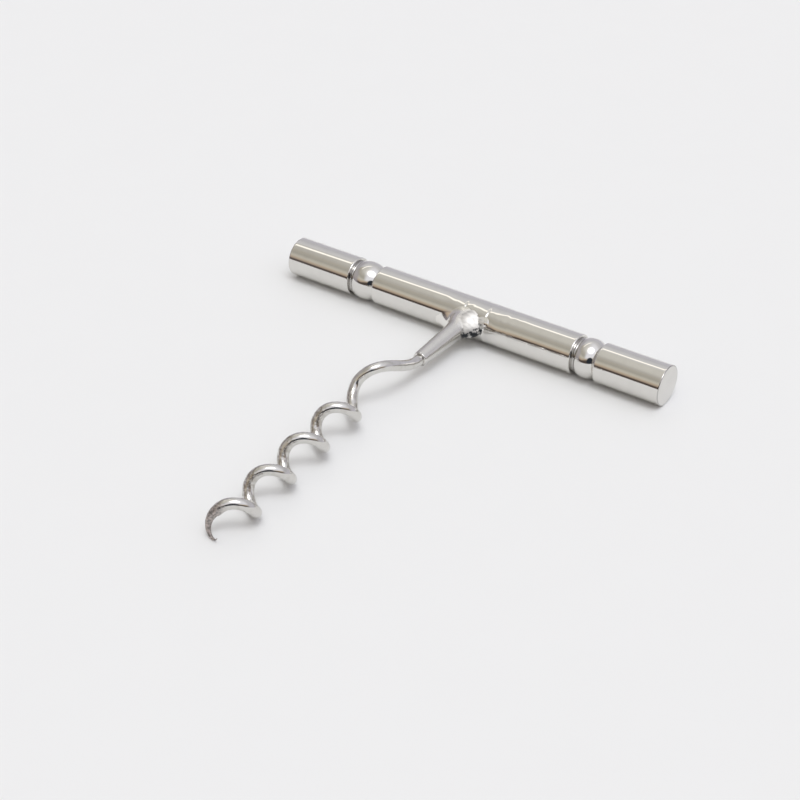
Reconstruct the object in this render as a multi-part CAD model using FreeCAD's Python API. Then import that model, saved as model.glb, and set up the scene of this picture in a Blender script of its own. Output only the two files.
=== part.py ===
import FreeCAD, Part
import math
import os

# Direct-pull corkscrew lying at rest on a table, in millimetres, +Z up.
# The turned bar handle lies along X and the worm points towards -Y.
# The pieces are built from the middle of the bar's axis, at bar height, and
# moved together at the end: the origin is under the middle of the footprint.

# Turned bar handle
BAR_LENGTH = 107.4
BAR_RADIUS = 5.0
BAR_END_CHAMFER = 0.35

# Bead groups turned into the bar: from the left a groove, a narrow ring, a groove,
# a bead that leans over to its right side, and a last groove
LEFT_GROUP_X = -34.8
LEFT_BEAD_WIDTH = 5.8
RIGHT_GROUP_X = 30.15
RIGHT_BEAD_WIDTH = 4.7
RING_WIDTH = 0.75
RING_DROP = 0.15
RING_CHAMFER = 0.2
GROOVE_WIDTH = 0.3
GROOVE_DEPTH = 0.7
RIM_CHAMFER = 0.25
BEAD_CREST_SHARE = 0.33
BEAD_CREST_DROP = 0.03
BEAD_SHOULDER_DROP = 0.2
BEAD_FOOT_DROP = 0.9

# Tapered shank, brazed into a blind cross hole of the bar
SHANK_REACH = 23.1
SHANK_ROOT_RADIUS = 2.6
SHANK_MOUTH_RADIUS = 1.8
SHANK_MOUTH_CHAMFER = 0.22
SPIGOT_RADIUS = 1.9
SPIGOT_DEPTH = 6.0
BRAZE_GAP = 0.03

# Weld bead round the shank's root, with a dome on its right side
FILLET_TOP_REACH = 8.4
FILLET_SIDE_RADIUS = 3.6
FILLET_SIDE_REACH = 5.4
FILLET_FOOT_RADIUS = 4.8
FILLET_FOOT_REACH = 3.2
DOME_RADIUS = 3.3
DOME_SIDE = 3.0
DOME_SINK = 0.7
DOME_ANGLE = 10.0

# Worm wire: a tang in the shank, a lead-in, a right-handed coil and a ground tip
WIRE_RADIUS = 1.3
TANG_LENGTH = 13.0
TANG_SHOW = 0.5
COIL_RADIUS = 3.0
COIL_PITCH = 12.94
COIL_REACH = 37.9
COIL_SIDE = -2.4
COIL_RISE = 1.1
COIL_END_SIDE = 0.8
COIL_FIRST_TURN = 0.85
COIL_LAST_TURN = 4.39

# Lead-in, given by its knee and its first limb as points of a stretched turn
LEAD_STRETCH = 2.9
KNEE_TURN = 0.26
KNEE_SWELL = 0.6
LIMB_TURN = 0.47

# Ground tip: the inside is ground away, the outer edge flares and the point hooks in
TIP_LAST_TURN = 4.724
TIP_RADIUS = 0.09
TIP_FLARE = 2.26
TIP_HOOK = 3.78
TIP_HOOK_POWER = 6
TIP_PULL_BACK = 0.59

# Sections along the wire: straight cones join them, so the bends stay light in faces
LEAD_SECTIONS = 14
SECTIONS_PER_TURN = 14
TIP_SECTIONS = 8

ALONG_X = FreeCAD.Vector(1, 0, 0)
UP = FreeCAD.Vector(0, 0, 1)
TO_WORM = FreeCAD.Vector(0, -1, 0)
MIDDLE = FreeCAD.Vector(0, 0, BAR_RADIUS)


def reach_point(reach, side=0.0, rise=0.0):
    """A point at a distance in front of the bar's axis, with offsets from the shank's axis."""
    return MIDDLE + TO_WORM * reach + ALONG_X * side + UP * rise


def bar_point(x, radius):
    """A point of the bar's half outline, above its axis."""
    return MIDDLE + ALONG_X * x + UP * radius


def line(start, end):
    return Part.LineSegment(start, end).toShape()


def arc(start, middle, end):
    return Part.Arc(start, middle, end).toShape()


def polyline(points):
    return [line(start, end) for start, end in zip(points, points[1:])]


def chamfered_end(face_x, inward, size):
    """Points from the bar's surface down a chamfer to a flat face at face_x."""
    return [bar_point(face_x + inward * size, BAR_RADIUS), bar_point(face_x, BAR_RADIUS - size)]


def bead_crown(start, width):
    """Arc over a bead, from its shoulder over its crest down to its foot."""
    shoulder = bar_point(start, BAR_RADIUS - BEAD_SHOULDER_DROP)
    crest = bar_point(start + width * BEAD_CREST_SHARE, BAR_RADIUS - BEAD_CREST_DROP)
    foot = bar_point(start + width, BAR_RADIUS - BEAD_FOOT_DROP)
    return arc(shoulder, crest, foot)


def ring_outline(start):
    """Narrow ring with chamfered edges, from its groove floor at start to the next floor."""
    end = start + RING_WIDTH
    floor = BAR_RADIUS - GROOVE_DEPTH
    crest = BAR_RADIUS - RING_DROP
    shoulder = crest - RING_CHAMFER
    return [
        bar_point(start, floor),
        bar_point(start, shoulder),
        bar_point(start + RING_CHAMFER, crest),
        bar_point(end - RING_CHAMFER, crest),
        bar_point(end, shoulder),
        bar_point(end, floor),
    ]


def group_width(bead_width):
    """Length of the bar that one bead group takes, between the rims of its neighbours."""
    return 3 * GROOVE_WIDTH + RING_WIDTH + bead_width


def group_outline(start, bead_width):
    """Outline of one bead group, from the rim on its left to the rim on its right."""
    floor = BAR_RADIUS - GROOVE_DEPTH
    ring = start + GROOVE_WIDTH
    bead = ring + RING_WIDTH + GROOVE_WIDTH
    bead_end = bead + bead_width
    end = start + group_width(bead_width)
    left = chamfered_end(start, -1, RIM_CHAMFER)
    left.append(bar_point(start, floor))
    left += ring_outline(ring)
    left.append(bar_point(bead, floor))
    left.append(bar_point(bead, BAR_RADIUS - BEAD_SHOULDER_DROP))
    right = [bar_point(bead_end, BAR_RADIUS - BEAD_FOOT_DROP)]
    right.append(bar_point(end, BAR_RADIUS - BEAD_FOOT_DROP))
    right += reversed(chamfered_end(end, 1, RIM_CHAMFER))
    return polyline(left) + [bead_crown(bead, bead_width)] + polyline(right)


def bar_outline():
    """Closed half outline of the bar, from its left end to its right end and back along the axis."""
    half = BAR_LENGTH / 2
    left_group_end = LEFT_GROUP_X + group_width(LEFT_BEAD_WIDTH) + RIM_CHAMFER
    right_group_end = RIGHT_GROUP_X + group_width(RIGHT_BEAD_WIDTH) + RIM_CHAMFER
    left_end = [bar_point(-half, 0)]
    left_end += reversed(chamfered_end(-half, 1, BAR_END_CHAMFER))
    left_end.append(bar_point(LEFT_GROUP_X - RIM_CHAMFER, BAR_RADIUS))
    barrel = line(bar_point(left_group_end, BAR_RADIUS), bar_point(RIGHT_GROUP_X - RIM_CHAMFER, BAR_RADIUS))
    right_end = [bar_point(right_group_end, BAR_RADIUS)]
    right_end += chamfered_end(half, -1, BAR_END_CHAMFER)
    right_end += [bar_point(half, 0), bar_point(-half, 0)]
    edges = polyline(left_end) + group_outline(LEFT_GROUP_X, LEFT_BEAD_WIDTH) + [barrel]
    edges += group_outline(RIGHT_GROUP_X, RIGHT_BEAD_WIDTH) + polyline(right_end)
    return Part.Wire(edges)


def spigot_reach():
    """Distance from the bar's axis to the spigot's end, negative behind the axis."""
    return BAR_RADIUS - SPIGOT_DEPTH


def handle_bar():
    bar = Part.Face(bar_outline()).revolve(MIDDLE, ALONG_X, 360)
    hole_length = SPIGOT_DEPTH + BAR_RADIUS
    hole = Part.makeCylinder(SPIGOT_RADIUS + BRAZE_GAP, hole_length, reach_point(spigot_reach()), TO_WORM)
    return bar.cut(hole)


def bar_cylinder():
    """The plain round bar that the shank and the weld are fitted to."""
    return Part.makeCylinder(BAR_RADIUS, BAR_LENGTH, bar_point(-BAR_LENGTH / 2, 0), ALONG_X)


def shank_radius(reach):
    """Outer radius of the taper at a distance from the bar's axis."""
    share = (reach - BAR_RADIUS) / (SHANK_REACH - BAR_RADIUS)
    return SHANK_ROOT_RADIUS + share * (SHANK_MOUTH_RADIUS - SHANK_ROOT_RADIUS)


def shank_taper():
    """Taper from the bar's axis to the mouth, with a chamfered rim."""
    cone = Part.makeCone(shank_radius(0), SHANK_MOUTH_RADIUS, SHANK_REACH, MIDDLE, TO_WORM)
    mouth_rim = min(cone.Edges, key=lambda edge: edge.BoundBox.YMax)
    return cone.makeChamfer(SHANK_MOUTH_CHAMFER, [mouth_rim])


def shank():
    spigot = Part.makeCylinder(SPIGOT_RADIUS, SPIGOT_DEPTH, reach_point(spigot_reach()), TO_WORM)
    bore = Part.makeCylinder(WIRE_RADIUS + BRAZE_GAP, TANG_LENGTH, reach_point(SHANK_REACH - TANG_LENGTH), TO_WORM)
    return shank_taper().cut(bar_cylinder()).fuse(spigot).cut(bore).removeSplitter()


def weld_fillet():
    """Concave fillet turned round the shank's axis."""
    top_radius = shank_radius(FILLET_TOP_REACH)
    foot = reach_point(FILLET_FOOT_REACH, rise=FILLET_FOOT_RADIUS)
    side = reach_point(FILLET_SIDE_REACH, rise=FILLET_SIDE_RADIUS)
    top = reach_point(FILLET_TOP_REACH, rise=top_radius)
    base = reach_point(0, rise=FILLET_FOOT_RADIUS)
    edges = [line(MIDDLE, base), line(base, foot), arc(foot, side, top)]
    edges += [line(top, reach_point(FILLET_TOP_REACH)), line(reach_point(FILLET_TOP_REACH), MIDDLE)]
    return Part.Face(Part.Wire(edges)).revolve(MIDDLE, TO_WORM, 360)


def weld_bead():
    angle = math.radians(DOME_ANGLE)
    depth = BAR_RADIUS - DOME_SINK
    centre = reach_point(depth * math.cos(angle), side=DOME_SIDE, rise=depth * math.sin(angle))
    metal = weld_fillet().fuse(Part.makeSphere(DOME_RADIUS, centre))
    return metal.cut(bar_cylinder()).cut(shank_taper()).removeSplitter()


def coil_frame():
    """Start of the coil's axis, its direction and the two directions across it."""
    start = reach_point(COIL_REACH, side=COIL_SIDE, rise=COIL_RISE)
    end_reach = COIL_REACH + COIL_PITCH * COIL_LAST_TURN
    end_height = COIL_RADIUS + WIRE_RADIUS
    end = reach_point(end_reach, side=COIL_END_SIDE, rise=end_height - BAR_RADIUS)
    along = (end - start).normalize()
    across = along.cross(UP).normalize()
    if across.x < 0:
        across = across * -1
    return start, along, across, along.cross(across)


def coil_radial(turn):
    """Unit vector from the coil's axis towards the wire."""
    start, along, across, upward = coil_frame()
    angle = 2 * math.pi * turn
    return across * math.cos(angle) + upward * math.sin(angle)


def coil_point(turn, swell=0.0, back=0.0):
    """A point on the coil, with extra radius and moved back towards the handle."""
    start, along, across, upward = coil_frame()
    axis_point = start + along * (COIL_PITCH * turn - back)
    return axis_point + coil_radial(turn) * (COIL_RADIUS + swell)


def coil_tangent(turn):
    start, along, across, upward = coil_frame()
    around = along.cross(coil_radial(turn))
    return (along * COIL_PITCH + around * (2 * math.pi * COIL_RADIUS)).normalize()


def lead_in():
    """Smooth curve from the shank's mouth over the knee and down the first limb."""
    knots = [
        reach_point(SHANK_REACH + TANG_SHOW),
        coil_point(KNEE_TURN, swell=KNEE_SWELL, back=LEAD_STRETCH),
        coil_point(LIMB_TURN, back=LEAD_STRETCH),
        coil_point(COIL_FIRST_TURN),
    ]
    end_tangent = coil_tangent(COIL_FIRST_TURN)
    curve = Part.BSplineCurve()
    curve.interpolate(Points=knots, InitialTangent=TO_WORM, FinalTangent=end_tangent, Scale=False)
    return curve.toShape()


def tang_stations():
    """Two stations of the straight tang: centre, direction and radius."""
    reaches = [SHANK_REACH - TANG_LENGTH, SHANK_REACH + TANG_SHOW]
    return [(reach_point(reach), TO_WORM, WIRE_RADIUS) for reach in reaches]


def lead_stations():
    curve = lead_in()
    stations = []
    for index in range(1, LEAD_SECTIONS):
        place = curve.getParameterByLength(curve.Length * index / LEAD_SECTIONS)
        stations.append((curve.valueAt(place), curve.tangentAt(place), WIRE_RADIUS))
    return stations


def coil_stations():
    """Stations from the end of the lead-in to the start of the ground tip."""
    turns = COIL_LAST_TURN - COIL_FIRST_TURN
    count = round(turns * SECTIONS_PER_TURN)
    stations = []
    for index in range(count):
        turn = COIL_FIRST_TURN + turns * index / count
        stations.append((coil_point(turn), coil_tangent(turn), WIRE_RADIUS))
    return stations


def tip_centre(share):
    """Centre of the ground tip, from its start at 0 to its point at 1."""
    turn = COIL_LAST_TURN + share * (TIP_LAST_TURN - COIL_LAST_TURN)
    flare = TIP_FLARE * share ** 2 - TIP_HOOK * share ** TIP_HOOK_POWER
    swell = share * (WIRE_RADIUS - TIP_RADIUS) + flare
    return coil_point(turn, swell=swell, back=TIP_PULL_BACK * share ** 2)


def tip_stations():
    """Stations of the ground tip, from full wire to its fine point."""
    stations = [(tip_centre(0), coil_tangent(COIL_LAST_TURN), WIRE_RADIUS)]
    half_step = 0.5 / TIP_SECTIONS
    for index in range(1, TIP_SECTIONS + 1):
        share = index / TIP_SECTIONS
        direction = tip_centre(share) - tip_centre(share - half_step)
        radius = WIRE_RADIUS + share * (TIP_RADIUS - WIRE_RADIUS)
        stations.append((tip_centre(share), direction.normalize(), radius))
    return stations


def wire_sections(stations):
    """Circles across the wire, each turned as little as possible from the one before."""
    side = ALONG_X
    circles = []
    for centre, direction, radius in stations:
        turn = FreeCAD.Rotation(side, direction.cross(side), direction, "ZXY")
        circle = Part.makeCircle(radius)
        circle.Placement = FreeCAD.Placement(centre, turn)
        circles.append(circle)
        side = turn.multVec(ALONG_X)
    return circles


def worm():
    circles = wire_sections(tang_stations() + lead_stations() + coil_stations() + tip_stations())
    sides = [Part.makeRuledSurface(first, second) for first, second in zip(circles, circles[1:])]
    ends = [Part.Face(Part.Wire(circles[0])), Part.Face(Part.Wire(circles[-1]))]
    return Part.Solid(Part.Shell(sides + ends))


def footprint_shift(shapes):
    """Move that puts the origin under the middle of the footprint."""
    box = Part.makeCompound(shapes).optimalBoundingBox()
    return FreeCAD.Vector(0, -(box.YMin + box.YMax) / 2, 0)


def export_all():
    os.makedirs("parts", exist_ok=True)
    pieces = {
        "handle_bar": handle_bar(),
        "shank": shank(),
        "weld_bead": weld_bead(),
        "worm": worm(),
    }
    shift = footprint_shift(list(pieces.values()))
    for name, shape in pieces.items():
        shape.translate(shift)
        shape.exportStep(f"parts/{name}.step")
        print(name, "valid", shape.isValid(), "solids", len(shape.Solids), "volume", round(shape.Volume, 3))
    print("shift", round(shift.y, 3))


export_all()
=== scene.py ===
import math

import bpy
import numpy as np
from mathutils import Matrix, Vector


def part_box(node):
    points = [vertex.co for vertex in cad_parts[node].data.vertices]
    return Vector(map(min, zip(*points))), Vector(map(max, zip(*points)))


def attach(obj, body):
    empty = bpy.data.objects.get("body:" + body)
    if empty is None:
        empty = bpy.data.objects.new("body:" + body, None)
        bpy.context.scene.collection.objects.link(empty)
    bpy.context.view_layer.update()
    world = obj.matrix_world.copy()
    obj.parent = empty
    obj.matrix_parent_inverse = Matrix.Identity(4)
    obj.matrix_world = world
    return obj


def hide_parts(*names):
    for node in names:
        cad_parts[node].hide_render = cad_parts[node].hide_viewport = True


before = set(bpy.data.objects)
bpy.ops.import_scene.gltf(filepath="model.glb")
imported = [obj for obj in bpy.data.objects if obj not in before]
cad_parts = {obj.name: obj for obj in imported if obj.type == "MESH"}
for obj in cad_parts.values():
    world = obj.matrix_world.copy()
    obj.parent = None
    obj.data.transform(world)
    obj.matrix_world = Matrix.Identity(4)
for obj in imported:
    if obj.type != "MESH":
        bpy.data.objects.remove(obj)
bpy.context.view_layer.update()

bl_info = {
    "name": "Corkscrew",
    "version": (1, 0, 0),
    "blender": (4, 5, 0),
    "location": "3D View > Sidebar > Corkscrew",
    "description": "Builds a plated direct-pull corkscrew on a pale studio floor",
    "category": "Object",
}

MM = 0.001
SAME_PLACE = 0.002 * MM
BAR_LOW, BAR_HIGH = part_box("handle_bar")
AXIS_Y = (BAR_LOW.y + BAR_HIGH.y) / 2
AXIS_Z = (BAR_LOW.z + BAR_HIGH.z) / 2
HANDLE_MIDDLE = Vector((0, AXIS_Y, AXIS_Z))


# Settings

def size(name, description, millimetres):
    """A length in the panel; the default is given in millimetres."""
    return bpy.props.FloatProperty(
        name=name, description=description, default=millimetres * MM, unit="LENGTH", precision=5)


def number(name, description, value):
    return bpy.props.FloatProperty(name=name, description=description, default=value, precision=4)


def angle(name, description, degrees):
    return bpy.props.FloatProperty(
        name=name, description=description, default=math.radians(degrees), subtype="ANGLE")


def colour(name, description, value):
    return bpy.props.FloatVectorProperty(
        name=name, description=description, default=value, size=3, subtype="COLOR", min=0, max=1)


class HandleSizes(bpy.types.PropertyGroup):
    length: size("Length", "Length of the turned bar", (BAR_HIGH.x - BAR_LOW.x) / MM)
    radius: size("Radius", "Radius of the bar's barrels", (BAR_HIGH.z - BAR_LOW.z) / 2 / MM)
    end_round: size("End round", "Radius of the round at each end", 0.2)
    left_group: size("Left group", "Start of the left bead group", -34.8)
    left_bead: size("Left bead", "Width of the bead in the left group", 5.8)
    right_group: size("Right group", "Start of the right bead group", 30.15)
    right_bead: size("Right bead", "Width of the bead in the right group", 4.7)
    ring_width: size("Ring width", "Width of the narrow ring beside a bead", 0.75)
    ring_drop: size("Ring drop", "How far the ring stays below the barrel", 0.15)
    shoulder_drop: size("Shoulder drop", "How far a bead's left edge stays below the barrel", 0.35)
    crest_drop: size("Crest drop", "How far a bead's crest stays below the barrel", 0.02)
    foot_drop: size("Foot drop", "How far a bead's right edge lies below the barrel", 1.3)
    crest_share: number("Crest place", "Place of the crest along a bead, from 0 to 1", 0.28)
    groove_width: size("Groove width", "Width of the fine grooves", 0.3)
    groove_depth: size("Groove depth", "Depth of the fine grooves", 0.7)
    rim_round: size("Rim round", "Radius of the round where a barrel ends at a group", 0.3)


class ShankSizes(bpy.types.PropertyGroup):
    reach: size("Reach", "Distance from the bar's axis to the mouth", 23.1)
    root_radius: size("Root radius", "Radius of the taper beside the bar", 2.6)
    mouth_radius: size("Mouth radius", "Radius of the taper at its mouth", 1.8)
    mouth_round: size("Mouth round", "Softness of the rim at the mouth", 0.35)
    flare: size("Flare", "How far the taper swells beside the bar", 0.65)
    flare_reach: size("Flare reach", "Distance from the bar's axis at which the swelling starts", 10)
    nose_radius: size("Nose radius", "Radius of the shank's rounded root on the bar", 3.1)
    nose_blend: size("Nose blend", "Softness between the taper and its rounded root", 2.0)
    bar_blend: size("Bar blend", "Softness of the corner between the root and the bar", 0.7)
    dome_length: size("Dome length", "Half length of the dome of weld metal", 3.9)
    dome_width: size("Dome width", "Half width of the dome", 3.25)
    dome_depth: size("Dome depth", "Half depth of the dome", 1.75)
    dome_crease: size("Dome crease", "Softness of the crease round the dome", 0.12)


class WormSizes(bpy.types.PropertyGroup):
    wire_radius: size("Wire radius", "Radius of the wire", 1.3)
    coil_radius: size("Coil radius", "Distance of the wire from the coil's axis", 3.0)
    pitch: size("Pitch", "Length of one turn along the coil", 12.94)
    reach: size("Coil reach", "Distance from the bar's axis to turn zero of the coil", 37.9)
    side: size("Coil side", "Offset of turn zero to the side of the shank's axis", -2.4)
    rise: size("Coil rise", "Height of turn zero above the shank's axis", 1.1)
    end_side: size("End side", "Offset of the coil's end to the side", 0.8)
    first_turn: number("First turn", "Turn at which the lead-in joins the coil", 0.85)
    last_turn: number("Last turn", "Turn at which the ground tip starts", 4.39)
    tip_turn: number("Tip turn", "Turn at which the wire ends in its point", 4.724)
    tip_radius: size("Tip radius", "Radius of the point", 0.09)
    tip_flare: size("Tip flare", "How far the ground tip stands out", 2.26)
    tip_hook: size("Tip hook", "How far the point hooks back in", 3.78)
    tip_pull: size("Tip pull", "How far the point is drawn back", 0.59)
    tang_depth: size("Tang depth", "Length of wire hidden in the shank", 3.0)


class FinishColours(bpy.types.PropertyGroup):
    plate: colour("Plate", "Colour of the bright nickel plate", (0.735, 0.72, 0.69))
    plate_roughness: number("Plate roughness", "Roughness of the polished plate", 0.045)
    shank_roughness: number("Shank roughness", "Roughness of the softer polish on the shank", 0.2)
    wire_roughness: number("Wire roughness", "Roughness of the plated wire", 0.1)
    ground: colour("Ground steel", "Colour of the dull metal at the ground tip", (0.42, 0.37, 0.35))
    # The groove colour is painted shade in the bar's grooves and on its end rounds; the crease colour is
    # painted shade round and under the dome and in the shank's mouth.
    groove: colour("Groove dirt", "Colour of the bar's fine grooves and of its end rims", (0.13, 0.12, 0.12))
    crease: colour("Crease dirt", "Colour of the dirt round the dome and in the mouth", (0.05, 0.055, 0.06))
    mottle: colour("Mottle", "Colour of the dull flecks on the worm", (0.27, 0.235, 0.19))


class StudioSettings(bpy.types.PropertyGroup):
    floor: colour("Floor", "Colour of the pale floor", (0.832, 0.836, 0.826))
    azimuth: angle("Azimuth", "Camera's turn from straight in front of the worm's point", 35.485)
    elevation: angle("Elevation", "Camera's height above the floor as an angle", 34.684)
    roll: angle("Roll", "Camera's roll", -0.737)
    distance: size("Distance", "Distance of the camera from the point that it looks at", 393.68)
    target_x: size("Target X", "Point on the floor that the camera looks at", 1.702)
    target_reach: size("Target reach", "Distance of that point from the bar's axis", 33.594)
    lens: number("Lens", "Focal length in millimetres", 75.69)


# Modelling helpers

def deselect_all():
    if bpy.context.object and bpy.context.object.mode != "OBJECT":
        bpy.ops.object.mode_set(mode="OBJECT")
    bpy.ops.object.select_all(action="DESELECT")


def make_active(piece):
    deselect_all()
    piece.select_set(True)
    bpy.context.view_layer.objects.active = piece


def apply_place(piece):
    make_active(piece)
    bpy.ops.object.transform_apply(location=True, rotation=True, scale=True)


def finish_mesh(piece, degrees=35):
    """Recalculates the normals and shades the piece smooth, with its real edges kept."""
    make_active(piece)
    bpy.ops.object.mode_set(mode="EDIT")
    bpy.ops.mesh.select_all(action="SELECT")
    bpy.ops.mesh.remove_doubles(threshold=SAME_PLACE)
    bpy.ops.mesh.normals_make_consistent(inside=False)
    bpy.ops.object.mode_set(mode="OBJECT")
    bpy.ops.object.shade_smooth_by_angle(angle=math.radians(degrees))


def draw_outline(name, points):
    """Draws an open chain of edges through the points, from a plane merged to one vertex."""
    deselect_all()
    bpy.ops.mesh.primitive_plane_add(size=MM, location=(0, 0, 0))
    outline = bpy.context.object
    outline.name = name
    bpy.ops.object.mode_set(mode="EDIT")
    bpy.ops.mesh.select_all(action="SELECT")
    bpy.ops.mesh.merge(type="CENTER")
    bpy.ops.transform.translate(value=points[0])
    for start, end in zip(points, points[1:]):
        bpy.ops.mesh.extrude_vertices_move(TRANSFORM_OT_translate={"value": end - start})
    return outline


def turn_outline(name, points, centre, axis, steps):
    """Turns an outline round an axis, as on a lathe."""
    piece = draw_outline(name, points)
    bpy.ops.mesh.select_all(action="SELECT")
    bpy.ops.mesh.spin(steps=steps, angle=2 * math.pi, center=centre, axis=axis)
    bpy.ops.object.mode_set(mode="OBJECT")
    return piece


def smooth_union(first, second, softness):
    """Joins the distances to two forms, with a soft corner between them."""
    share = np.clip(0.5 + 0.5 * (second - first) / softness, 0, 1)
    return second * (1 - share) + first * share - softness * share * (1 - share)


def smooth_step(low, high, value):
    share = np.clip((value - low) / (high - low), 0, 1)
    return share * share * (3 - 2 * share)


# Shader helpers

class Value:
    """A shader socket that takes part in Python expressions."""

    def __init__(self, shader, socket):
        self.shader = shader
        self.socket = socket

    def combine(self, operation, *values):
        return self.shader.add("ShaderNodeMath", {"operation": operation}, list(values))

    def __add__(self, other):
        return self.combine("ADD", self, other)

    def __radd__(self, other):
        return self.combine("ADD", other, self)

    def __sub__(self, other):
        return self.combine("SUBTRACT", self, other)

    def __rsub__(self, other):
        return self.combine("SUBTRACT", other, self)

    def __mul__(self, other):
        return self.combine("MULTIPLY", self, other)

    def __rmul__(self, other):
        return self.combine("MULTIPLY", other, self)

    def __truediv__(self, other):
        return self.combine("DIVIDE", self, other)

    def __pow__(self, other):
        return self.combine("POWER", self, other)

    def __rpow__(self, other):
        return self.combine("POWER", other, self)

    def absolute(self):
        return self.combine("ABSOLUTE", self)

    def at_least(self, low):
        return self.combine("MAXIMUM", self, low)

    def clamped(self):
        return self.combine("MINIMUM", self.at_least(0.0), 1.0)

    def ramp(self, low, high):
        """Goes smoothly from 0 at low to 1 at high; low may be the larger."""
        settings = {"interpolation_type": "SMOOTHSTEP"}
        inputs = {"Value": self, "From Min": low, "From Max": high}
        return self.shader.add("ShaderNodeMapRange", settings, inputs)


class Shader:
    """The node tree of a material or of the world."""

    def __init__(self, owner):
        owner.use_nodes = True
        self.tree = owner.node_tree
        self.tree.nodes.clear()

    def add(self, kind, settings=None, inputs=None, output=0):
        """Adds one node: its settings first, then its sockets by name or in order."""
        node = self.tree.nodes.new(kind)
        for key, value in (settings or {}).items():
            if key == "stops":
                self.set_stops(node.color_ramp, value)
            else:
                setattr(node, key, value)
        named = inputs if isinstance(inputs, dict) else dict(enumerate(inputs or []))
        for key, value in named.items():
            if isinstance(value, Value):
                self.tree.links.new(value.socket, node.inputs[key])
            else:
                node.inputs[key].default_value = value
        return Value(self, node.outputs[output]) if len(node.outputs) else node

    def set_stops(self, ramp, stops):
        while len(ramp.elements) < len(stops):
            ramp.elements.new(1.0)
        for element, (place, shade) in zip(ramp.elements, stops):
            element.position = place
            element.color = (*shade, 1)

    def place(self):
        return self.add("ShaderNodeTexCoord", output=3)

    def noise(self, scale, detail=2.0, roughness=0.5, vector=None):
        vector = vector or self.place()
        inputs = {"Vector": vector, "Scale": scale, "Detail": detail, "Roughness": roughness}
        return self.add("ShaderNodeTexNoise", None, inputs)

    def stretch(self, scale):
        """Object coordinates stretched along some axes."""
        return self.add("ShaderNodeMapping", None, {"Vector": self.place(), "Scale": scale})

    def axis(self, index):
        return self.add("ShaderNodeSeparateXYZ", None, [self.place()], output=index)

    def depth(self):
        """Distance from the bar's axis."""
        return ((self.axis(1) - AXIS_Y) ** 2 + (self.axis(2) - AXIS_Z) ** 2) ** 0.5

    def distance(self, point):
        """Distance from a point."""
        return self.add("ShaderNodeVectorMath", {"operation": "DISTANCE"}, [self.place(), point], output=1)

    def mix(self, factor, first, second):
        """Mixes two colours."""
        inputs = {0: factor, 6: first, 7: second}
        return self.add("ShaderNodeMix", {"data_type": "RGBA"}, inputs, output=2)

    def bump(self, height):
        """Normal for a height in millimetres."""
        return self.add("ShaderNodeBump", None, {"Height": height, "Distance": MM, "Strength": 1.0})

    def surface(self, inputs):
        shader = self.add("ShaderNodeBsdfPrincipled", None, inputs)
        self.add("ShaderNodeOutputMaterial", None, {"Surface": shader})


def new_material(name):
    material = bpy.data.materials.new(name)
    return material, Shader(material)


def dress(piece, material, slot_name, *nodes):
    """Gives the piece its material, hangs it under the root body and hides the CAD nodes that it stands for.
    slot_name is not used.
    """
    piece.data.materials.clear()
    piece.data.materials.append(material)
    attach(piece, "root")
    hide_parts(*nodes)


def tone(rgb, share=1.0):
    """A colour for a socket, made darker or lighter by a share."""
    return (*[channel * share for channel in rgb], 1)


def groove_mask(shader, sizes):
    """1 in the fine grooves beside the two rings, where shade is painted into the plate's colour and the
    plate is rougher.
    """
    across = shader.axis(0)
    deep = shader.depth().ramp(sizes.radius - 0.42 * MM, sizes.radius - 0.66 * MM)
    soft = 0.05 * MM
    groove = 0
    for start in (sizes.left_group, sizes.right_group):
        end = start + sizes.ring_width + 2 * sizes.groove_width
        groove = groove + across.ramp(start - soft, start) * across.ramp(end + soft, end) * deep
    return groove


def rim_mask(shader, sizes):
    """1 on the round at both ends of the bar, where shade is painted into the plate's colour."""
    end = sizes.length / 2
    outer = shader.depth().ramp(sizes.radius - 0.35 * MM, sizes.radius - 0.2 * MM)
    return shader.axis(0).absolute().ramp(end - 0.22 * MM, end - 0.12 * MM) * outer


def polishing_height(shader):
    """Height left by hand polishing near the weld: waves, and facets that end in two small steps."""
    across = shader.axis(0)
    hand = shader.noise(170, detail=2, vector=shader.stretch((0.8, 1, 1)))
    waves = hand + hand.ramp(0.45, 0.65) * 0.4
    waves_reach = across.ramp(-3 * MM, 3 * MM) * across.ramp(20 * MM, 9 * MM)
    drift = (across + 7 * MM) / (6.5 * MM)
    drift = drift - across.ramp(-0.9 * MM, -0.1 * MM) - across.ramp(5.6 * MM, 6.4 * MM)
    ahead = AXIS_Y - shader.axis(1)
    facets_reach = across.ramp(-7 * MM, -3 * MM) * across.ramp(12 * MM, 8 * MM)
    facets = drift * ahead * ahead.ramp(-1.5 * MM, 0.3 * MM) * facets_reach
    return waves * waves_reach * 0.09 + facets * 64


def polished_plate(sizes, colours):
    """Bright nickel plate over turned steel, hand polished near the weld, with painted shade in the grooves
    and on the round at both ends.
    """
    material, shader = new_material("bright_plate")
    groove = groove_mask(shader, sizes)
    waves = shader.noise(120, detail=2, vector=shader.stretch((0.35, 1, 1)))
    haze = shader.noise(400, detail=3)
    plate = shader.mix(haze.ramp(0.3, 0.8), tone(colours.plate), tone(colours.plate, 0.96))
    # Painted shade: the grooves and the end rounds are darkened towards the groove colour.
    painted_shade = groove * 0.42 + rim_mask(shader, sizes) * 0.4
    shader.surface({
        "Base Color": shader.mix(painted_shade, plate, tone(colours.groove)),
        "Metallic": 1.0,
        "Roughness": colours.plate_roughness + 0.03 * haze.ramp(0.5, 0.75) + 0.1 * groove,
        "Normal": shader.bump(waves * 0.03 + polishing_height(shader)),
    })
    return material


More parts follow.
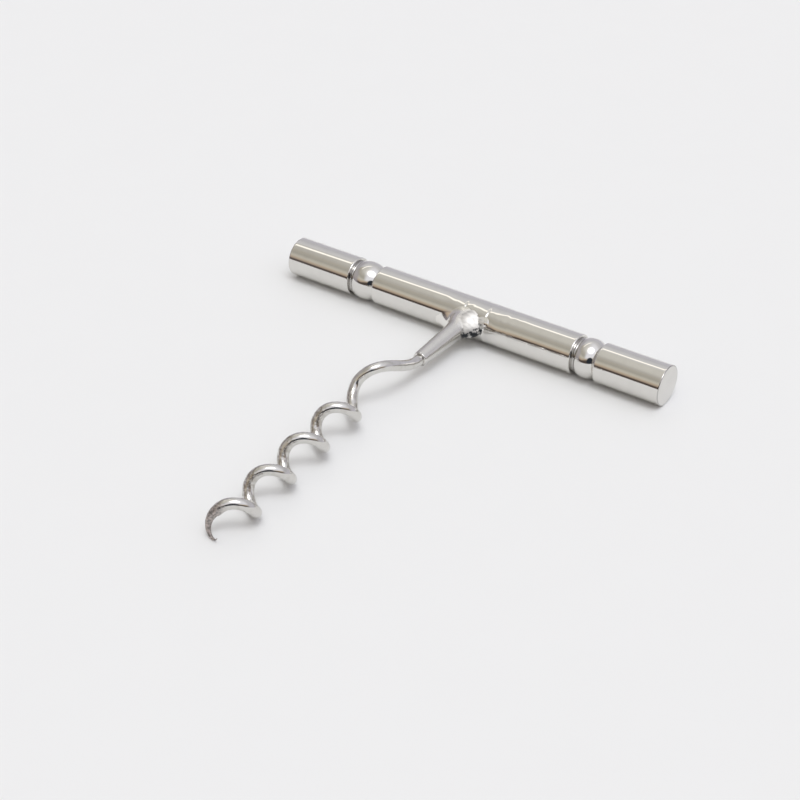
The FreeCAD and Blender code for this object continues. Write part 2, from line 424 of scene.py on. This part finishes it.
def shank_plate(colours):
    """Plate over the filed shank: brushed on the dome, duller along the taper, with painted shade in the
    creases, in the mouth and along the underside, and a painted sheen at the root.
    """
    material, shader = new_material("soft_plate")
    across, height = shader.axis(0), shader.axis(2) - AXIS_Z
    reach = AXIS_Y - shader.axis(1)
    crease = shader.add("ShaderNodeAttribute", {"attribute_name": "crease"}, output=2)
    taper = reach.ramp(5.5 * MM, 9 * MM)
    mouth = reach.ramp(21.9 * MM, 22.9 * MM)
    dome = shader.distance(HANDLE_MIDDLE + Vector(DOME_CENTRE) * MM).ramp(4.2 * MM, 3.2 * MM)
    dome = dome * across.ramp(6.6 * MM, 6.0 * MM)
    saddle = (across - 1 * MM).absolute().ramp(3.3 * MM, 4.2 * MM) * (1 - dome)
    # Painted shade: the shank's lower side is darker, standing in for the shaded floor that it reflects.
    painted_underside_shade = (across * 0.7 - height * 0.71).ramp(0.9 * MM, 2.1 * MM) * taper
    waves = shader.noise(260, detail=2)
    haze = shader.noise(900, detail=3)
    pits = shader.noise(900, detail=3, roughness=0.6)
    brush = shader.noise(1500, detail=3, vector=shader.stretch((0.3, 1, 1)))
    # Painted shade, broken into patches: dark in the crease round the dome, under the dome and in the mouth.
    painted_shade = (crease + 0.72 * mouth + pits * 2.0 - 1.75).ramp(0.0, 0.3)
    streaks = (0.1 + 0.3 * brush.ramp(0.35, 0.65)) * dome
    shade = streaks + 0.1 * haze + 0.45 * painted_underside_shade
    # Painted reflection: the plate is lighter near the bar, at the shank's root.
    bright = shader.mix(reach.ramp(8 * MM, 6 * MM), tone(colours.plate), tone(colours.plate, 1.17))
    plate = shader.mix(shade, bright, tone(colours.plate, 0.45))
    roughness = colours.shank_roughness + 0.38 * dome - 0.15 * saddle
    shader.surface({
        "Base Color": shader.mix(painted_shade, plate, tone(colours.crease)),
        "Metallic": 1.0,
        "Roughness": roughness + 0.06 * haze.ramp(0.4, 0.7) + 0.1 * painted_shade,
        "Normal": shader.bump(waves * 0.04 + brush * dome * 0.02 - painted_shade * 0.05),
    })
    return material


def wire_plate(colours):
    """Plate over drawn wire, mottled where polishing didn't reach, rough where the tip was ground."""
    material, shader = new_material("wire_plate")
    along = shader.axis(1)
    waves = shader.noise(300, detail=2)
    haze = shader.noise(1200, detail=4)
    patches = shader.noise(700, detail=4, roughness=0.6)
    flecks = shader.noise(1050, detail=3, roughness=0.6)
    grain = shader.noise(1900, detail=3, roughness=0.65)
    from_coil_axis = shader.axis(0) + 0.056 * along + 1.9 * MM
    left = from_coil_axis.ramp(-0.8 * MM, -2.2 * MM) * along.ramp(5 * MM, 2 * MM)
    mottle = patches.ramp(0.48, 0.64) * 0.15 + flecks.ramp(0.44, 0.56) * left * 0.6
    tip = along.ramp(-47.3 * MM, -49.8 * MM)
    ground = (tip * (0.3 + 1.1 * grain)).clamped()
    plate = shader.mix(mottle, tone(colours.plate, 0.93), tone(colours.mottle))
    worn = shader.mix(grain.ramp(0.4, 0.6), tone(colours.ground, 0.3), tone(colours.ground, 1.3))
    shader.surface({
        "Base Color": shader.mix(ground, plate, worn),
        "Metallic": 1.0,
        "Roughness": colours.wire_roughness + 0.08 * haze + 0.1 * mottle + 0.2 * ground,
        "Normal": shader.bump(waves * 0.035 + flecks * left * 0.14 + grain * ground * 0.12),
    })
    return material


# Turned bar

def round_points(corner, inward, radius, rounding, steps=6):
    """Outline of a small round from the bar's surface down to a face at corner."""
    straight = 0.3 * MM
    points = [(corner + inward * (rounding + straight), radius)]
    for index in range(steps + 1):
        turn = math.pi / 2 * index / steps
        along = corner + inward * rounding * (1 - math.sin(turn))
        points.append((along, radius - rounding * (1 - math.cos(turn))))
    return points


def arc_points(first, middle, last, steps):
    """Points on the arc through three points of the outline."""
    (ax, ay), (bx, by), (cx, cy) = first, middle, last
    double = 2 * (ax * (by - cy) + bx * (cy - ay) + cx * (ay - by))
    a, b, c = ax * ax + ay * ay, bx * bx + by * by, cx * cx + cy * cy
    centre_x = (a * (by - cy) + b * (cy - ay) + c * (ay - by)) / double
    centre_y = (a * (cx - bx) + b * (ax - cx) + c * (bx - ax)) / double
    radius = math.hypot(ax - centre_x, ay - centre_y)
    start = math.atan2(ay - centre_y, ax - centre_x)
    end = math.atan2(cy - centre_y, cx - centre_x)
    turns = [start + (end - start) * index / steps for index in range(steps + 1)]
    return [(centre_x + radius * math.cos(turn), centre_y + radius * math.sin(turn)) for turn in turns]


def crown_points(start, end, floor, crest, steps):
    """Arc over a ring, from groove floor to groove floor."""
    half = (end - start) / 2
    return arc_points((start, floor), (start + half, crest), (end, floor), steps)


def group_points(sizes, start, bead_width):
    """Outline of a bead group: groove, narrow ring, groove, leaning bead and groove."""
    floor = sizes.radius - sizes.groove_depth
    ring = start + sizes.groove_width
    bead = ring + sizes.ring_width + sizes.groove_width
    foot = sizes.radius - sizes.foot_drop
    end = bead + bead_width + sizes.groove_width
    shoulder = (bead, sizes.radius - sizes.shoulder_drop)
    crest = (bead + bead_width * sizes.crest_share, sizes.radius - sizes.crest_drop)
    points = round_points(start, -1, sizes.radius, sizes.rim_round)
    points.append((start, floor))
    points += crown_points(ring, ring + sizes.ring_width, floor, sizes.radius - sizes.ring_drop, 12)
    points.append((bead, floor))
    points += arc_points(shoulder, crest, (bead + bead_width, foot), 32)
    points.append((end, foot))
    points += reversed(round_points(end, 1, sizes.radius, sizes.rim_round))
    return points


def bar_points(sizes):
    half = sizes.length / 2
    points = [(-half, 0.0)]
    points += reversed(round_points(-half, 1, sizes.radius, sizes.end_round))
    points += group_points(sizes, sizes.left_group, sizes.left_bead)
    points += group_points(sizes, sizes.right_group, sizes.right_bead)
    points += round_points(half, -1, sizes.radius, sizes.end_round)
    points.append((half, 0.0))
    return [HANDLE_MIDDLE + Vector((x, 0, r)) for x, r in points]


class CORKSCREW_OT_handle(bpy.types.Operator):
    """Turns the bar handle with its two bead groups"""
    bl_idname = "corkscrew.handle"
    bl_label = "Bar handle"

    def execute(self, context):
        sizes = context.scene.corkscrew_handle
        bar = turn_outline("turned_bar", bar_points(sizes), HANDLE_MIDDLE, (1, 0, 0), 160)
        finish_mesh(bar)
        dress(bar, polished_plate(sizes, context.scene.corkscrew_finish), "plated_bar", "handle_bar")
        return {"FINISHED"}


# Shank and weld

# The weld's forms: places and half sizes in millimetres from the middle of the bar's axis
SADDLE_LENGTH = 15
NOSE_CENTRE = (-0.25, -3.7, -0.1)
DOME_CENTRE = (2.7, -4.75, 1.3)
DOME_OUTWARD = (0.4, -0.49, 0.775)
DOME_ALONG = (0.45, 0.77, 0.32)
DOME_UNDERSIDE = (0.7, -0.25, -0.66)
NOTCH_CENTRE = (6.4, -4.75, 1.7)
WEB_CENTRE, WEB_OUTWARD, WEB_ALONG = (-4.3, -4.3, -0.3), (-0.15, -0.93, 0.33), (1, 0, 0)
WEB_SIZES = (3.6 * MM, 2.1 * MM, 1.2 * MM)
TAIL_CENTRE, TAIL_OUTWARD, TAIL_ALONG = (5.75, -3.95, 2.35), (0.15, -0.85, 0.5), (1, 0.1, 0.2)
TAIL_SIZES = (1.6 * MM, 1.0 * MM, 0.7 * MM)


def lump(place, centre, outward, along, sizes, power):
    """Nearly the distance to a rounded lump that faces outward, longest along one direction."""
    outward = Vector(outward).normalized()
    along = Vector(along)
    along = (along - outward * along.dot(outward)).normalized()
    sideways = outward.cross(along)
    offset = place - np.array(centre) * MM
    total = 0
    for direction, half in zip((along, sideways, outward), sizes):
        total = total + np.abs(offset @ np.array(direction) / half) ** power
    return (total ** (1 / power) - 1) * min(sizes)


def root_form(sizes, bar_radius, place):
    """Distance to the bar's middle, the tapered shank and its rounded root."""
    x, y, z = place.T
    reach = -y
    share = (reach - bar_radius) / (sizes.reach - bar_radius)
    taper = sizes.root_radius + share * (sizes.mouth_radius - sizes.root_radius)
    swell = np.clip((sizes.flare_reach - reach) / (sizes.flare_reach - 3.5 * MM), 0, 1)
    around = np.hypot(x, z)
    shank = around - taper - sizes.flare * swell ** 2
    shank = -smooth_union(-shank, -(reach - sizes.reach), sizes.mouth_round)
    shank = np.maximum(shank, 3 * MM - reach)
    nose = np.linalg.norm(place - np.array(NOSE_CENTRE) * MM, axis=1) - sizes.nose_radius
    sink = (0.004 + 0.5 * smooth_step(SADDLE_LENGTH / 2 * MM, 9 * MM, around)) * MM
    bar = np.hypot(y, z) - (bar_radius - sink)
    web = lump(place, WEB_CENTRE, WEB_OUTWARD, WEB_ALONG, WEB_SIZES, 2)
    tail = lump(place, TAIL_CENTRE, TAIL_OUTWARD, TAIL_ALONG, TAIL_SIZES, 2)
    corner = smooth_union(smooth_union(bar, web, 0.5 * MM), tail, 0.4 * MM)
    return smooth_union(corner, smooth_union(shank, nose, sizes.nose_blend), sizes.bar_blend)


def dome_form(sizes, place):
    """Distance to the dome of weld metal in the right corner."""
    dome_sizes = (sizes.dome_length, sizes.dome_width, sizes.dome_depth)
    return lump(place, DOME_CENTRE, DOME_OUTWARD, DOME_ALONG, dome_sizes, 2.2)


def shank_form(sizes, bar_radius, place):
    """Distance in metres from points to the welded shank, negative inside."""
    place = place - np.array(HANDLE_MIDDLE)
    return smooth_union(root_form(sizes, bar_radius, place), dome_form(sizes, place), sizes.dome_crease)


def mark_creases(piece, sizes, bar_radius):
    """Stores how much shade is painted on each vertex: in the crease round the dome, most at its lower
    right, under the dome and at a small notch beside it.
    """
    place = read_vertices(piece) - np.array(HANDLE_MIDDLE)
    root, dome = root_form(sizes, bar_radius, place), dome_form(sizes, place)
    side = (place - np.array(DOME_CENTRE) * MM) @ np.array(DOME_UNDERSIDE)
    lower = smooth_step(-0.5 * MM, 1.8 * MM, side)
    width = (0.16 + 0.5 * lower) * MM
    # Painted shade in the crease between the root and the dome, stronger at its lower right.
    ring = np.exp(-((root - dome) / width) ** 2) * (0.6 + 0.4 * lower)
    # Painted shade along the dome's lower edge, where it overhangs.
    painted_underside_shade = smooth_step(1.2 * MM, 1.9 * MM, side) * (root > 0.05 * MM)
    notch = np.exp(-((place - np.array(NOTCH_CENTRE) * MM) ** 2).sum(1) / (0.5 * MM) ** 2)
    depth = np.maximum(ring, np.maximum(painted_underside_shade, notch))
    crease = piece.data.attributes.new("crease", "FLOAT", "POINT")
    crease.data.foreach_set("value", depth)


def read_vertices(piece):
    mesh = piece.data
    place = np.empty(len(mesh.vertices) * 3)
    mesh.vertices.foreach_get("co", place)
    return place.reshape(-1, 3)


def settle_on_form(piece, form, rounds=8):
    """Moves every vertex onto the form's surface, straight in or out."""
    mesh = piece.data
    place = read_vertices(piece)
    nudge = 0.005 * MM
    for _ in range(rounds):
        distance = form(place)
        slope = np.empty_like(place)
        for axis in range(3):
            offset = np.zeros(3)
            offset[axis] = nudge
            slope[:, axis] = (form(place + offset) - form(place - offset)) / (2 * nudge)
        steep = np.maximum((slope ** 2).sum(1), 0.05)
        place -= slope * (distance / steep)[:, None]
    mesh.vertices.foreach_set("co", place.ravel())
    mesh.update()


def join_forms(name, forms):
    """Joins overlapping forms in one object."""
    deselect_all()
    for form in forms:
        form.select_set(True)
    bpy.context.view_layer.objects.active = forms[0]
    bpy.ops.object.join()
    forms[0].name = name
    return forms[0]


class CORKSCREW_OT_shank(bpy.types.Operator):
    """Shapes the tapered shank, its weld and the dome of weld metal"""
    bl_idname = "corkscrew.shank"
    bl_label = "Shank and weld"

    def execute(self, context):
        sizes = context.scene.corkscrew_shank
        bar_radius = context.scene.corkscrew_handle.radius
        deselect_all()
        bpy.ops.mesh.primitive_cone_add(
            vertices=64, radius1=sizes.root_radius, radius2=sizes.mouth_radius, depth=sizes.reach,
            location=HANDLE_MIDDLE - Vector((0, sizes.reach / 2, 0)), rotation=(math.pi / 2, 0, 0))
        taper = bpy.context.object
        bpy.ops.mesh.primitive_uv_sphere_add(
            segments=48, ring_count=24, radius=sizes.dome_width,
            location=HANDLE_MIDDLE + Vector(DOME_CENTRE) * MM)
        dome = bpy.context.object
        bpy.ops.mesh.primitive_cylinder_add(
            vertices=64, radius=bar_radius, depth=SADDLE_LENGTH * MM,
            location=HANDLE_MIDDLE, rotation=(0, math.pi / 2, 0))
        saddle = bpy.context.object
        piece = join_forms("welded_shank", [taper, dome, saddle])
        apply_place(piece)
        piece.data.remesh_voxel_size = 0.13 * MM
        bpy.ops.object.voxel_remesh()
        settle_on_form(piece, lambda place: shank_form(sizes, bar_radius, place))
        finish_mesh(piece, 60)
        mark_creases(piece, sizes, bar_radius)
        dress(piece, shank_plate(context.scene.corkscrew_finish), "plated_shank", "shank", "weld_bead")
        return {"FINISHED"}


# Worm

STATIONS_PER_TURN = 8


class Coil:
    """The worm's centre line, worked out from the panel's sizes."""

    def __init__(self, sizes):
        self.sizes = sizes
        self.start = self.reach_point(sizes.reach, sizes.side, sizes.rise)
        end_reach = sizes.reach + sizes.pitch * sizes.last_turn
        end_height = sizes.coil_radius + sizes.wire_radius - AXIS_Z
        end = self.reach_point(end_reach, sizes.end_side, end_height)
        self.along = (end - self.start).normalized()
        self.across = self.along.cross(Vector((0, 0, 1))).normalized()
        if self.across.x < 0:
            self.across = -self.across
        self.upward = self.along.cross(self.across)

    def reach_point(self, reach, side=0.0, rise=0.0):
        return HANDLE_MIDDLE + Vector((side, -reach, rise))

    def radial(self, turn):
        turned = 2 * math.pi * turn
        return self.across * math.cos(turned) + self.upward * math.sin(turned)

    def point(self, turn, swell=0.0, back=0.0):
        axis_point = self.start + self.along * (self.sizes.pitch * turn - back)
        return axis_point + self.radial(turn) * (self.sizes.coil_radius + swell)

    def tangent(self, turn):
        around = self.along.cross(self.radial(turn))
        return (self.along * self.sizes.pitch + around * (2 * math.pi * self.sizes.coil_radius)).normalized()

    def handle(self, turn, step):
        """Half of a curve segment's handle, for segments of the given part of a turn."""
        around = self.along.cross(self.radial(turn))
        reach = 4 / 3 * math.tan(math.pi * step / 2) * self.sizes.coil_radius
        return self.along * (self.sizes.pitch * step / 3) + around * reach

    def lead_points(self, shank_reach):
        """Places that the lead-in passes through, from the shank's mouth to the coil."""
        lead = 2.9 * MM
        return [
            self.reach_point(shank_reach + 0.5 * MM),
            self.point(0.26, swell=0.6 * MM, back=lead),
            self.point(0.47, back=lead),
            self.point(self.sizes.first_turn),
        ]


def smooth_slopes(points, first, last):
    """Slopes that carry a smooth curve through the points, with its end slopes given."""
    spans = [(b - a).length for a, b in zip(points, points[1:])]
    count = len(points)
    system = np.zeros((count, count))
    wanted = np.zeros((count, 3))
    system[0, 0] = system[-1, -1] = 1
    wanted[0], wanted[-1] = first, last
    for index in range(1, count - 1):
        before, after = spans[index - 1], spans[index]
        system[index, index - 1:index + 2] = (after, 2 * (before + after), before)
        to_next = (points[index + 1] - points[index]) * (before / after)
        from_last = (points[index] - points[index - 1]) * (after / before)
        wanted[index] = 3 * (to_next + from_last)
    return [Vector(row) for row in np.linalg.solve(system, wanted)], spans


def worm_stations(coil, shank_reach):
    """Curve points of the worm: place, handle before, handle after, share of the wire's radius."""
    sizes = coil.sizes
    down = Vector((0, -1, 0))
    points = coil.lead_points(shank_reach)
    slopes, spans = smooth_slopes(points, down, coil.tangent(sizes.first_turn))
    tang_start = coil.reach_point(shank_reach - sizes.tang_depth)
    tang = (points[0] - tang_start).length / 3
    stations = [(tang_start, down * tang, down * tang, 1.0)]
    before = tang
    for point, slope, after in zip(points[:-1], slopes, spans):
        stations.append((point, slope * before, slope * after / 3, 1.0))
        before = after / 3
    count = round((sizes.last_turn - sizes.first_turn) * STATIONS_PER_TURN)
    step = (sizes.last_turn - sizes.first_turn) / count
    first_handle = coil.handle(sizes.first_turn, step)
    stations.append((points[-1], slopes[-1] * before, first_handle, 1.0))
    for index in range(1, count + 1):
        turn = sizes.first_turn + step * index
        handle = coil.handle(turn, step)
        stations.append((coil.point(turn), handle, handle, 1.0))
    return stations + tip_stations(coil)


def tip_centre(coil, share):
    """Centre of the ground tip: the inside is ground away, the point flares out and hooks in."""
    sizes = coil.sizes
    turn = sizes.last_turn + share * (sizes.tip_turn - sizes.last_turn)
    swell = share * (sizes.wire_radius - sizes.tip_radius)
    swell += sizes.tip_flare * share ** 2 - sizes.tip_hook * share ** 6
    return coil.point(turn, swell, sizes.tip_pull * share ** 2)


def tip_stations(coil, steps=10):
    sizes = coil.sizes
    stations = []
    for index in range(1, steps + 1):
        share = index / steps
        radius = sizes.wire_radius + share * (sizes.tip_radius - sizes.wire_radius)
        place = tip_centre(coil, share)
        slope = (tip_centre(coil, share + 0.01) - tip_centre(coil, share - 0.01)) / 0.02
        handle = slope / steps / 3
        stations.append((place, handle, handle, radius / sizes.wire_radius))
    return stations


def sweep_wire(name, stations, radius):
    """Sweeps a round wire along a curve through the stations."""
    deselect_all()
    bpy.ops.curve.primitive_bezier_curve_add(radius=MM, location=(0, 0, 0))
    wire = bpy.context.object
    wire.name = name
    curve = wire.data
    spline = curve.splines[0]
    spline.bezier_points.add(len(stations) - len(spline.bezier_points))
    for knot, (place, before, after, share) in zip(spline.bezier_points, stations):
        knot.handle_left_type = knot.handle_right_type = "FREE"
        knot.co = place
        knot.handle_left = place - before
        knot.handle_right = place + after
        knot.radius = share
    curve.resolution_u = 8
    curve.bevel_depth = radius
    curve.bevel_resolution = 10
    curve.use_fill_caps = True
    make_active(wire)
    bpy.ops.object.convert(target="MESH")
    return bpy.context.object


class CORKSCREW_OT_worm(bpy.types.Operator):
    """Sweeps the right-handed worm with its lead-in and ground tip"""
    bl_idname = "corkscrew.worm"
    bl_label = "Worm"

    def execute(self, context):
        sizes = context.scene.corkscrew_worm
        coil = Coil(sizes)
        stations = worm_stations(coil, context.scene.corkscrew_shank.reach)
        worm = sweep_wire("ground_worm", stations, sizes.wire_radius)
        apply_place(worm)
        finish_mesh(worm)
        dress(worm, wire_plate(context.scene.corkscrew_finish), "plated_wire", "worm")
        return {"FINISHED"}


# Studio

FLOOR_RADIUS = 12
BACKDROP = (0.84, 0.84, 0.845)
FRONT_TENT = (
    (0.0, (0.10, 0.08, 0.07)),
    (0.15, (0.10, 0.08, 0.07)),
    (0.19, (0.40, 0.31, 0.24)),
    (0.30, (0.60, 0.50, 0.39)),
    (0.42, (0.66, 0.62, 0.54)),
    (0.50, (0.60, 0.57, 0.50)),
    (0.61, (0.47, 0.45, 0.40)),
    (0.73, (0.52, 0.49, 0.43)),
    (0.82, (0.58, 0.56, 0.52)),
    (0.88, (0.70, 0.68, 0.63)),
    (1.0, (0.78, 0.76, 0.72)),
)
BACK_TENT = (
    (0.0, (0.64, 0.63, 0.70)),
    (0.5, (0.62, 0.615, 0.65)),
    (0.8, (0.77, 0.765, 0.78)),
    (1.0, (0.78, 0.77, 0.77)),
)
SKYLIGHT = (0.98, 0.98, 1.05)
LEFT_WALL = (0.43, 0.41, 0.44)
DARK_CORNER = (0.03, 0.035, 0.045)
TUBE = (1.5, 1.45, 1.35)
PANEL = (9.0, 9.1, 9.3)
PANEL_PLACE = (0.3, -0.2)
PANEL_SIZE = (0.24, 0.22)


def lay_floor(settings):
    deselect_all()
    bpy.ops.mesh.primitive_circle_add(
        vertices=96, radius=FLOOR_RADIUS, fill_type="NGON", location=(0, 0, 0))
    floor = bpy.context.object
    floor.name = "studio_floor"
    material, shader = new_material("pale_floor")
    grain = shader.noise(60, detail=2)
    shader.surface({
        "Base Color": shader.mix(grain.ramp(0.2, 0.8), tone(settings.floor), tone(settings.floor, 0.995)),
        "Roughness": 0.9,
        "Specular IOR Level": 0.1,
    })
    floor.data.materials.append(material)


def tent_colour(shader, direction):
    """Colour of the tent in a direction: walls by height, with across and along on its flat roof."""
    x, y, z = [shader.add("ShaderNodeSeparateXYZ", None, [direction], output=index) for index in range(3)]
    steep = z.at_least(0.05)
    across, along = x / steep, y / steep
    to_camera = (0.58 * x - 0.814 * y).ramp(0.5, 0.95)
    height = z - 0.15 * to_camera * (1 - z.ramp(0.3, 0.6))
    front = shader.add("ShaderNodeValToRGB", {"stops": FRONT_TENT}, {"Fac": height})
    back = shader.add("ShaderNodeValToRGB", {"stops": BACK_TENT}, {"Fac": z})
    tent = shader.mix((y - 0.287 * z).ramp(-0.15, 0.15), front, back)
    skylight = across.ramp(-0.35, 0.25) * z.ramp(0.35, 0.6) * along.ramp(1.0, 0.3)
    tent = shader.mix(skylight, tent, tone(SKYLIGHT))
    left_wall = x.ramp(-0.5, -0.75) * z.ramp(0.75, 0.5) * 0.8
    tent = shader.mix(left_wall, tent, tone(LEFT_WALL))
    corner = (0.563 * x - 0.79 * y + 0.24 * z).ramp(0.925, 0.955)
    tent = shader.mix(corner, tent, tone(DARK_CORNER))
    from_tube = (0.838 * across - 0.546 * along + 0.62).absolute()
    tube = from_tube.ramp(0.08, 0.03) * along.ramp(-0.1, 0.05) * along.ramp(0.8, 0.6)
    tent = shader.mix(tube, tent, tone(TUBE))
    aside = ((across - PANEL_PLACE[0]) / PANEL_SIZE[0]) ** 2
    ahead = ((along - PANEL_PLACE[1]) / PANEL_SIZE[1]) ** 2
    panel = math.e ** ((aside + ahead) * -1) * z.ramp(0.1, 0.3)
    return shader.mix(panel, tent, tone(PANEL))


def light_world():
    """Lights the scene with a pale tent; behind the floor's edge the camera sees a plain backdrop."""
    world = bpy.data.worlds.new("studio")
    bpy.context.scene.world = world
    shader = Shader(world)
    direction = shader.add("ShaderNodeTexCoord", output=0)
    seen = shader.add("ShaderNodeLightPath")
    tent = shader.mix(seen, tent_colour(shader, direction), tone(BACKDROP))
    background = shader.add("ShaderNodeBackground", None, {"Color": tent, "Strength": 1.0})
    shader.add("ShaderNodeOutputWorld", None, {"Surface": background})


def aim_camera(settings):
    deselect_all()
    bpy.ops.object.camera_add()
    camera = bpy.context.object
    camera.name = "photo_camera"
    turn, lift, roll = settings.azimuth, settings.elevation, settings.roll
    back = Vector((math.sin(turn) * math.cos(lift), -math.cos(turn) * math.cos(lift), math.sin(lift)))
    right = (-back).cross(Vector((0, 0, 1))).normalized()
    up = right.cross(-back)
    rolled_right = right * math.cos(roll) + up * math.sin(roll)
    rolled_up = up * math.cos(roll) - right * math.sin(roll)
    target = Vector((settings.target_x, AXIS_Y - settings.target_reach, 0))
    place = target + back * settings.distance
    columns = Matrix((rolled_right, rolled_up, back)).transposed()
    camera.matrix_world = Matrix.Translation(place) @ columns.to_4x4()
    camera.data.lens = settings.lens
    camera.data.sensor_width = 36
    camera.data.clip_start = 0.01
    bpy.context.scene.camera = camera


class CORKSCREW_OT_stage(bpy.types.Operator):
    """Sets up the pale floor, the studio light and the camera"""
    bl_idname = "corkscrew.stage"
    bl_label = "Studio"

    def execute(self, context):
        settings = context.scene.corkscrew_studio
        lay_floor(settings)
        light_world()
        aim_camera(settings)
        context.scene.view_settings.view_transform = "Standard"
        return {"FINISHED"}


class CORKSCREW_PT_panel(bpy.types.Panel):
    """Sizes, colours and the steps that build the corkscrew"""
    bl_label = "Corkscrew"
    bl_idname = "CORKSCREW_PT_panel"
    bl_space_type = "VIEW_3D"
    bl_region_type = "UI"
    bl_category = "Corkscrew"

    def draw(self, context):
        for operator in OPERATORS:
            self.layout.operator(operator.bl_idname)
        for name in GROUPS:
            group = getattr(context.scene, name)
            box = self.layout.box()
            for key in group.bl_rna.properties.keys():
                if key not in {"rna_type", "name"}:
                    box.prop(group, key)


GROUPS = {
    "corkscrew_handle": HandleSizes,
    "corkscrew_shank": ShankSizes,
    "corkscrew_worm": WormSizes,
    "corkscrew_finish": FinishColours,
    "corkscrew_studio": StudioSettings,
}
OPERATORS = (CORKSCREW_OT_handle, CORKSCREW_OT_shank, CORKSCREW_OT_worm, CORKSCREW_OT_stage)


def register():
    for name, group in GROUPS.items():
        bpy.utils.register_class(group)
        setattr(bpy.types.Scene, name, bpy.props.PointerProperty(type=group))
    for operator in OPERATORS:
        bpy.utils.register_class(operator)
    bpy.utils.register_class(CORKSCREW_PT_panel)


def unregister():
    bpy.utils.unregister_class(CORKSCREW_PT_panel)
    for operator in reversed(OPERATORS):
        bpy.utils.unregister_class(operator)
    for name, group in GROUPS.items():
        delattr(bpy.types.Scene, name)
        bpy.utils.unregister_class(group)


def main():
    register()
    bpy.ops.corkscrew.handle()
    bpy.ops.corkscrew.shank()
    bpy.ops.corkscrew.worm()
    bpy.ops.corkscrew.stage()


if __name__ == "__main__":
    main()
